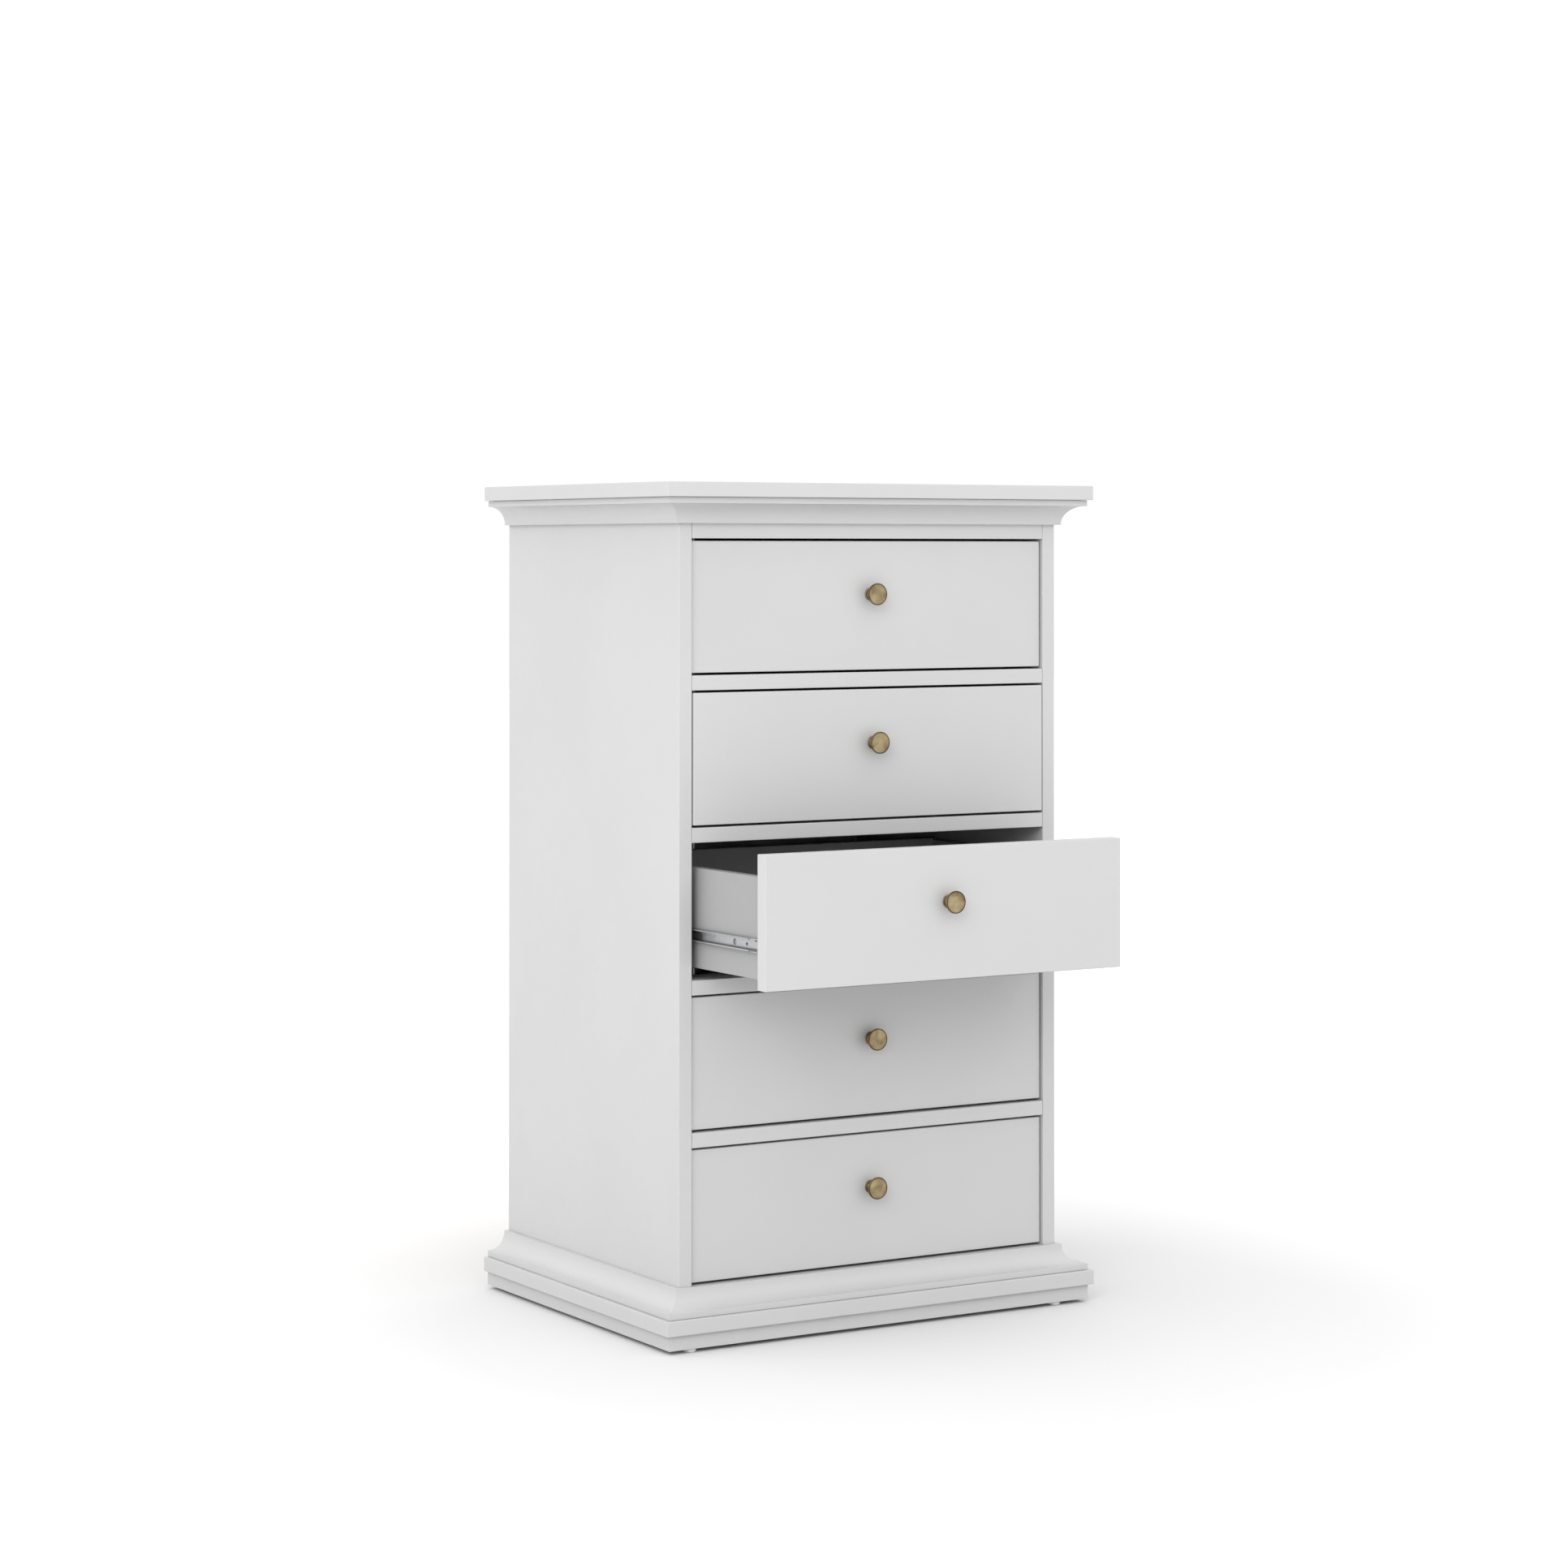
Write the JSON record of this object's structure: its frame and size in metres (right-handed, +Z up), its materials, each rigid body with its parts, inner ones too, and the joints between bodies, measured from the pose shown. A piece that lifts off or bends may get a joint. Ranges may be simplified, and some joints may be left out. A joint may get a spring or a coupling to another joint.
{
  "type": "chest of drawers",
  "caption": "Tall chest of inset drawers with a moulded cornice and base, set-back plinth, round metal knobs and ball-bearing slides.",
  "frame": {"origin": "on the floor under the middle of the box round the whole chest, with drawer 3 open and drawer 2 ajar as built", "axes": "+Z up, -Y towards the person who opens the drawers, +X to the right of somebody facing the chest"},
  "size_m": [0.653, 0.6632, 1.088],
  "materials": {
    "white_board": "white foil on board, satin, very fine pore",
    "grey_foil": "grey foil on the folded drawer boxes, satin",
    "grey_hardboard": "thin grey-faced hardboard of the drawer bottoms, matt",
    "hardboard": "thin white-faced hardboard, matt",
    "knob_brass": "antique brass, brushed face, dark brown in the rim",
    "slide_steel": "zinc-plated rolled steel",
    "glide_plastic": "pale grey moulded plastic"
  },
  "bodies": {
    "carcass": {"top_panel": "white_board", "cornice_front": "white_board", "cornice_left": "white_board", "cornice_right": "white_board", "side_panel_left": "white_board", "side_panel_right": "white_board", "back_panel": "hardboard", "top_rail": "white_board", "rail_1": "white_board", "rail_2": "white_board", "rail_3": "white_board", "rail_4": "white_board", "base_moulding_front": "white_board", "base_moulding_left": "white_board", "base_moulding_right": "white_board", "base_board": "white_board", "plinth_front": "white_board", "plinth_left": "white_board", "plinth_right": "white_board", "plinth_back": "white_board", "drawer_1_channel_left": "slide_steel", "drawer_1_channel_right": "slide_steel", "drawer_2_channel_left": "slide_steel", "drawer_2_channel_right": "slide_steel", "drawer_3_channel_left": "slide_steel", "drawer_3_channel_right": "slide_steel", "drawer_4_channel_left": "slide_steel", "drawer_4_channel_right": "slide_steel", "drawer_5_channel_left": "slide_steel", "drawer_5_channel_right": "slide_steel"},
    "drawer_1": {"drawer_1_front": "white_board", "drawer_1_box": "grey_foil", "drawer_1_bottom": "grey_hardboard", "drawer_1_knob": "knob_brass", "drawer_1_runner_left": "slide_steel", "drawer_1_runner_right": "slide_steel"},
    "drawer_2": {"drawer_2_front": "white_board", "drawer_2_box": "grey_foil", "drawer_2_bottom": "grey_hardboard", "drawer_2_knob": "knob_brass", "drawer_2_runner_left": "slide_steel", "drawer_2_runner_right": "slide_steel"},
    "drawer_3": {"drawer_3_front": "white_board", "drawer_3_box": "grey_foil", "drawer_3_bottom": "grey_hardboard", "drawer_3_knob": "knob_brass", "drawer_3_runner_left": "slide_steel", "drawer_3_runner_right": "slide_steel"},
    "drawer_4": {"drawer_4_front": "white_board", "drawer_4_box": "grey_foil", "drawer_4_bottom": "grey_hardboard", "drawer_4_knob": "knob_brass", "drawer_4_runner_left": "slide_steel", "drawer_4_runner_right": "slide_steel"},
    "drawer_5": {"drawer_5_front": "white_board", "drawer_5_box": "grey_foil", "drawer_5_bottom": "grey_hardboard", "drawer_5_knob": "knob_brass", "drawer_5_runner_left": "slide_steel", "drawer_5_runner_right": "slide_steel"}
  },
  "joints": [
    {"name": "drawer_1_slide", "type": "slide", "parent": "carcass", "child": "drawer_1", "axis": [0, -1, 0], "range_m": [0, 0.29]},
    {"name": "drawer_2_slide", "type": "slide", "parent": "carcass", "child": "drawer_2", "axis": [0, -1, 0], "range_m": [-0.006, 0.284]},
    {"name": "drawer_3_slide", "type": "slide", "parent": "carcass", "child": "drawer_3", "axis": [0, -1, 0], "range_m": [-0.181, 0.109]},
    {"name": "drawer_4_slide", "type": "slide", "parent": "carcass", "child": "drawer_4", "axis": [0, -1, 0], "range_m": [0, 0.29]},
    {"name": "drawer_5_slide", "type": "slide", "parent": "carcass", "child": "drawer_5", "axis": [0, -1, 0], "range_m": [0, 0.29]}
  ]
}
